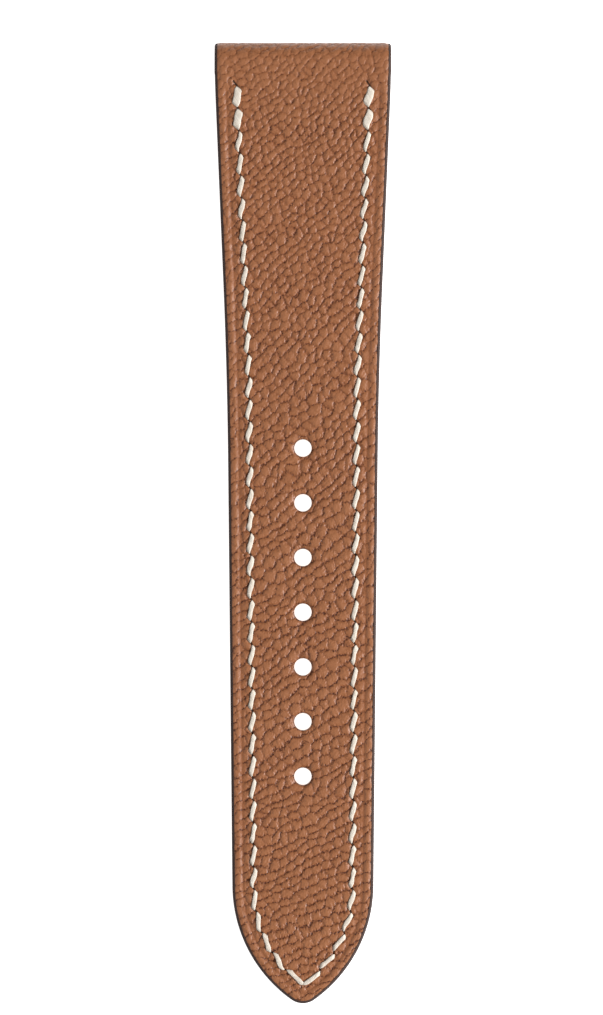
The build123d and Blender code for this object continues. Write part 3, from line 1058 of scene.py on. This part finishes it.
# %% Waxed linen
linen, tree, output, place = new_material("waxed_ecru_linen_thread")
fibre_size = 0.055
fibre_bump = 0.06 * millimetre
mean_radius = (thread_half_wide + thread_half_high) / 2
fibre_way = add(tree, "ShaderNodeAttribute", {"attribute_name": "fibre"}).outputs["Vector"]
fibres = add(tree, "ShaderNodeTexNoise", inputs={
    "Vector": fibre_way, "Scale": mean_radius / fibre_size, "Detail": 3.0, "Roughness": 0.65})
tone = add(tree, "ShaderNodeMapRange", inputs={
    "Value": fibres.outputs["Fac"], "From Min": 0.35, "From Max": 0.65})
flax = add(tree, "ShaderNodeMix", colour_mix, {
    mix_share: tone.outputs[0], mix_a: linear("#BDB0A0"), mix_b: linear("#DCD4C8")})
ridged = add(tree, "ShaderNodeBump", inputs={
    "Height": fibres.outputs["Fac"], "Strength": 0.5, "Distance": fibre_bump})
waxed = add(tree, "ShaderNodeBsdfPrincipled", inputs={
    "Base Color": flax.outputs[mixed], "Roughness": 0.55, "IOR": 1.45, "Normal": ridged.outputs[0]})
tree.links.new(waxed.outputs[0], output.inputs[0])
thread_nodes = [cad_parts["thread_strand_" + letter] for letter in "ab"]
dress(linen, *strands, *thread_nodes)
print("linen nodes", len(tree.nodes))

# %% [markdown]
# The other pieces show little, and their finishes differ only in tone, grain and gloss, so one
# function makes them: two tones mixed in clouds, and a fine surface grain of a real size. The weave
# of the band and the tape is too fine to show, so a grain as wide as its thread spacing stands in.

# %% Plainer finishes
cloud_per_grain = 6


def plain_finish(name, light, dark, grain_mm, bump_mm, roughness):
    """A finish with two mixed tones and a fine surface grain of a given size."""
    made, tree, output, place = new_material(name)
    grain_size = grain_mm * millimetre
    cloud = add(tree, "ShaderNodeTexNoise", inputs={
        "Vector": place, "Scale": 1 / (grain_size * cloud_per_grain), "Detail": 4.0})
    tone = add(tree, "ShaderNodeMix", colour_mix, {
        mix_share: cloud.outputs["Fac"], mix_a: linear(light), mix_b: linear(dark)})
    fine = add(tree, "ShaderNodeTexNoise", inputs={
        "Vector": place, "Scale": 1 / grain_size, "Detail": 3.0})
    bump = add(tree, "ShaderNodeBump", inputs={
        "Height": fine.outputs["Fac"], "Strength": 0.4, "Distance": bump_mm * millimetre})
    shell = add(tree, "ShaderNodeBsdfPrincipled", inputs={
        "Base Color": tone.outputs[mixed], "Roughness": roughness, "IOR": 1.45,
        "Normal": bump.outputs[0]})
    tree.links.new(shell.outputs[0], output.inputs[0])
    return made


# CAD node, then name, light and dark tone, grain and bump in millimetres, and roughness.
finishes = {
    # Acrylic edge paint, brushed and sanded: a brown black line, almost without gloss.
    "edge_paint": ("brown_black_edge_paint", "#3E2C26", "#31221E", 0.3, 0.004, 0.8),
    # Vegetable tanned calf, ironed smooth: a warm pale back with a low sheen.
    "lining_leather": ("smooth_natural_calf_lining", "#C99A6B", "#B98858", 0.25, 0.02, 0.5),
    # Woven nylon: an off white, matt cloth in the tunnel's front.
    "loop_reinforcement": ("woven_nylon_loop_band", "#D8D2C4", "#BDB6A6", 0.2, 0.03, 0.75),
    # Non stretch tape: a whiter, flatter weave that shows as a thin line in the hole walls.
    "stretch_stop_tape": ("non_stretch_tape", "#E6E1D5", "#CFC9BA", 0.15, 0.02, 0.8),
    # Leather fibres bonded into board: a dull, speckled brown.
    "filler_wedge": ("bonded_leather_board", "#A98766", "#876747", 0.3, 0.05, 0.8),
}
for node, finish in finishes.items():
    dress(plain_finish(*finish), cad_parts[node])
dress(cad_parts["edge_paint"].data.materials[0], bead)
print("materials", len(bpy.data.materials))

# %% [markdown]
# The strap was photographed flat on white. The floor glows a little, as a light table does, so that
# the punched holes are white and no shadow joins the dark edge.

# %% Floor
floor_size = 1.2
floor_gap = 0.0002
middle = np.array([0, tip_y / 2 * millimetre, 0])
floor_place = (0, middle[1], bottom * millimetre - floor_gap)
bpy.ops.mesh.primitive_plane_add(size=floor_size, location=floor_place)
floor = bpy.context.object
floor.name = "light_table"
white, tree, output, place = new_material("light_table_white")
glow = add(tree, "ShaderNodeEmission", inputs={"Color": (1, 1, 1, 1), "Strength": 0.93})
matt = add(tree, "ShaderNodeBsdfDiffuse", inputs={"Color": (0.8, 0.8, 0.8, 1)})
both = add(tree, "ShaderNodeAddShader", inputs={0: glow.outputs[0], 1: matt.outputs[0]})
tree.links.new(both.outputs[0], output.inputs[0])
dress(white, floor)
print("floor", floor_size, "m wide")

# %% [markdown]
# A broad soft light comes from the right and rather low, which draws out every dome and crease. A
# weaker one from the left and an even white world keep the shadows open. Area lamps shine along
# their own minus Z, so each is turned to face the middle of the strap.

# %% Lights
world = bpy.data.worlds.new("studio_white")
bpy.context.scene.world = world
world.use_nodes = True
background = world.node_tree.nodes["Background"]
background.inputs["Color"].default_value = (1, 1, 1, 1)
background.inputs["Strength"].default_value = 0.25


def softbox(name, place, size, power):
    """A square area light that faces the middle of the strap."""
    lamp = bpy.data.lights.new(name, "AREA")
    lamp.energy = power
    lamp.size = size
    made = bpy.data.objects.new(name, lamp)
    bpy.context.collection.objects.link(made)
    made.location = middle + np.array(place)
    aim = -unit(np.array(place))
    made.rotation_euler = (math.acos(-aim[2]), 0, math.atan2(aim[0], -aim[1]) + math.pi)
    print(name, power, "W")


softbox("key_from_right", place=(0.55, -0.08, 0.34), size=0.35, power=8.2)
softbox("fill_from_left", place=(-0.5, -0.1, 0.6), size=0.6, power=1.1)

# %% [markdown]
# The camera looks straight down, as in the photograph. A long lens from far away keeps the view
# nearly free of perspective. Its view is 115 mm high, which comes from the strap's length in the
# photograph. The Standard view shows a hex colour as it was written, where a filmic one would soften
# the tan.

# %% Camera straight above
view_height = 0.1150
view_x = -0.00016
view_y = -0.05063
view_level = -0.0005
camera_data = bpy.data.cameras.new("camera")
camera_data.lens = 200
camera_data.sensor_width = 36
camera_data.clip_end = 10
camera = bpy.data.objects.new("camera", camera_data)
bpy.context.collection.objects.link(camera)
camera_distance = view_height * camera_data.lens / camera_data.sensor_width
camera.location = (view_x, view_y, camera_distance + view_level)
bpy.context.scene.camera = camera
bpy.context.scene.view_settings.view_transform = "Standard"
print("camera", round(camera_distance, 3), "m above the strap")
